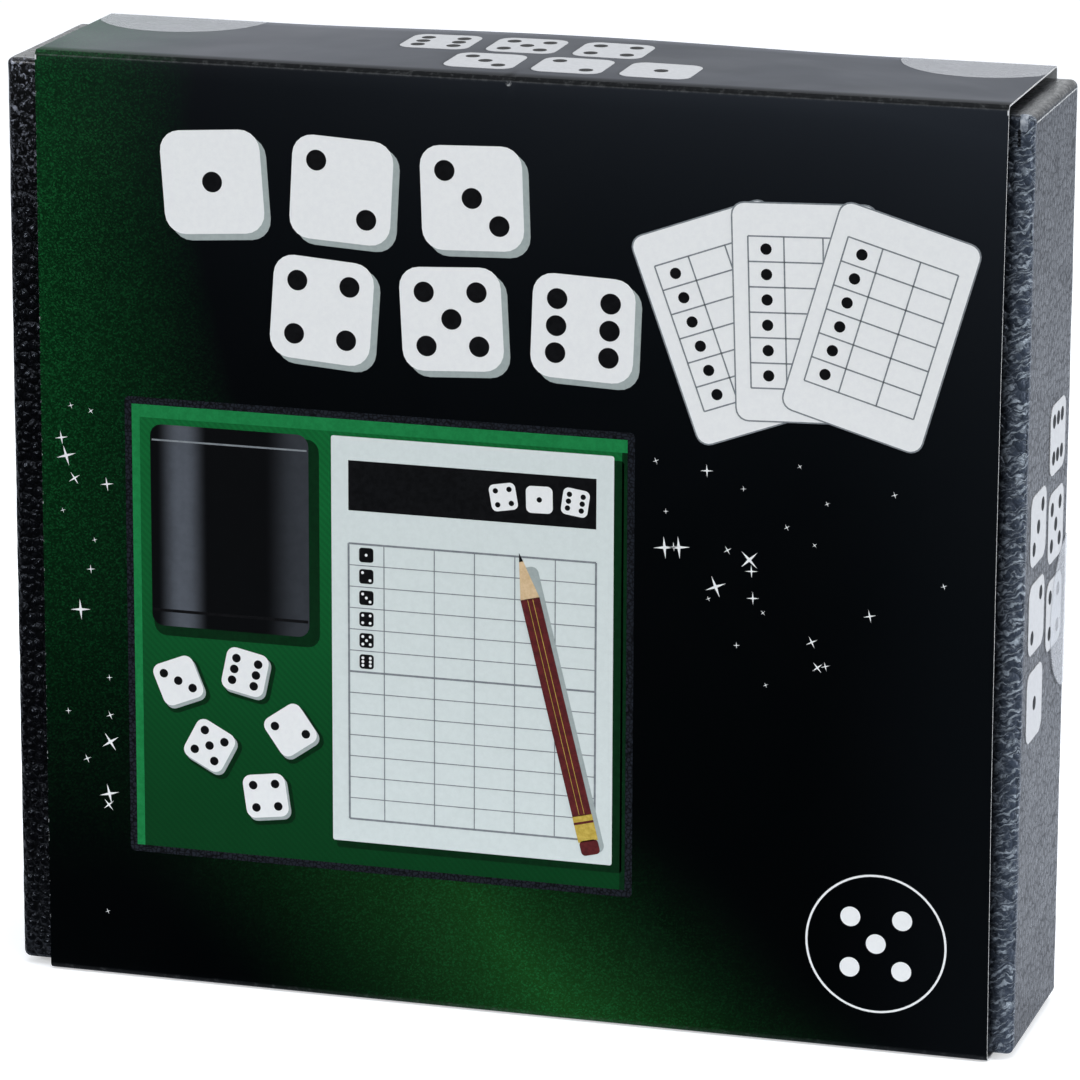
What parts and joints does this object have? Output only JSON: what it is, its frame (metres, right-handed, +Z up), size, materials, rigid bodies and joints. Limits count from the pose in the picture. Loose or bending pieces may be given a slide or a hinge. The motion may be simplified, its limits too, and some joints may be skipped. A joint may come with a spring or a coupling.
{
  "type": "dice game set",
  "caption": "Boxed dice game: a printed card sleeve slides off a leatherette tray that holds a score pad, a pencil, dice, a flattened shaker cup and an instruction leaflet.",
  "frame": {"origin": "on the ground under the middle of the standing pack's bounding box", "axes": "+X right along the front panel, +Y from the front panel to the back panel, +Z up as the pack stands"},
  "size_m": [0.1754, 0.0376, 0.1612],
  "materials": {
    "sleeve_print": "satin",
    "seal_film": "gloss",
    "tray_board": "matte",
    "leatherette": "satin",
    "green_felt": "matte",
    "leaflet_paper": "matte",
    "pad_paper": "matte",
    "pad_grey_board": "matte",
    "pad_gum": "satin",
    "pencil_wood": "gloss",
    "graphite": "satin",
    "ferrule_brass": "polished",
    "eraser_rubber": "matte",
    "dice_white": "gloss",
    "pip_black": "gloss",
    "cup_leather": "satin",
    "cup_core_board": "matte",
    "cup_felt": "matte"
  },
  "bodies": {
    "tray": {"floor_board": "tray_board", "wall_board_top": "tray_board", "wall_board_bottom": "tray_board", "wall_board_left": "tray_board", "wall_board_right": "tray_board", "leatherette_back": "leatherette", "leatherette_top": "leatherette", "leatherette_bottom": "leatherette", "leatherette_left": "leatherette", "leatherette_right": "leatherette", "felt_floor": "green_felt", "felt_top": "green_felt", "felt_bottom": "green_felt", "felt_left": "green_felt", "felt_right": "green_felt", "seal_side": "seal_film"},
    "sleeve": {"sleeve_front_panel": "sleeve_print", "sleeve_top_panel": "sleeve_print", "sleeve_bottom_panel": "sleeve_print", "sleeve_back_panel": "sleeve_print", "sleeve_glue_flap": "sleeve_print", "seal_top_left": "seal_film", "seal_top_right": "seal_film", "seal_side_back": "seal_film"},
    "leaflet": {"instruction_leaflet": "leaflet_paper"},
    "score_pad": {"pad_backing": "pad_grey_board", "pad_sheets": "pad_paper", "pad_top_sheet": "pad_paper", "pad_gum_strip": "pad_gum"},
    "pencil": {"pencil_barrel": "pencil_wood", "pencil_lead": "graphite", "pencil_ferrule": "ferrule_brass", "pencil_eraser": "eraser_rubber"},
    "shaker_cup": {"cup_base": "cup_leather", "cup_core": "cup_core_board", "cup_cover": "cup_leather", "cup_lining": "cup_felt"},
    "first_die": {"die_1": "dice_white", "die_1_pips": "pip_black"},
    "second_die": {"die_2": "dice_white", "die_2_pips": "pip_black"},
    "third_die": {"die_3": "dice_white", "die_3_pips": "pip_black"},
    "fourth_die": {"die_4": "dice_white", "die_4_pips": "pip_black"},
    "fifth_die": {"die_5": "dice_white", "die_5_pips": "pip_black"}
  },
  "joints": [
    {"name": "sleeve_slide", "type": "slide", "parent": "tray", "child": "sleeve", "axis": [-1, 0, 0], "range_m": [0, 0.18]},
    {"name": "pad_shift", "type": "slide", "parent": "tray", "child": "score_pad", "axis": [0, 0, 1], "range_m": [0, 0.0025]},
    {"name": "leaflet_shift", "type": "slide", "parent": "tray", "child": "leaflet", "axis": [0, 0, 1], "range_m": [0, 0.0065]},
    {"name": "pencil_shift", "type": "slide", "parent": "tray", "child": "pencil", "axis": [0, 0, 1], "range_m": [0, 0.0325]},
    {"name": "cup_shift", "type": "slide", "parent": "tray", "child": "shaker_cup", "axis": [0, 0, 1], "range_m": [0, 0.0735]},
    {"name": "first_die_shift", "type": "slide", "parent": "tray", "child": "first_die", "axis": [0, 0, 1], "range_m": [0, 0.1285]},
    {"name": "second_die_shift", "type": "slide", "parent": "tray", "child": "second_die", "axis": [0, 0, 1], "range_m": [0, 0.1285]},
    {"name": "third_die_shift", "type": "slide", "parent": "tray", "child": "third_die", "axis": [0, 0, 1], "range_m": [0, 0.1285]},
    {"name": "fourth_die_shift", "type": "slide", "parent": "tray", "child": "fourth_die", "axis": [0, 0, 1], "range_m": [0, 0.1285]},
    {"name": "fifth_die_shift", "type": "slide", "parent": "tray", "child": "fifth_die", "axis": [0, 0, 1], "range_m": [0, 0.1285]}
  ]
}
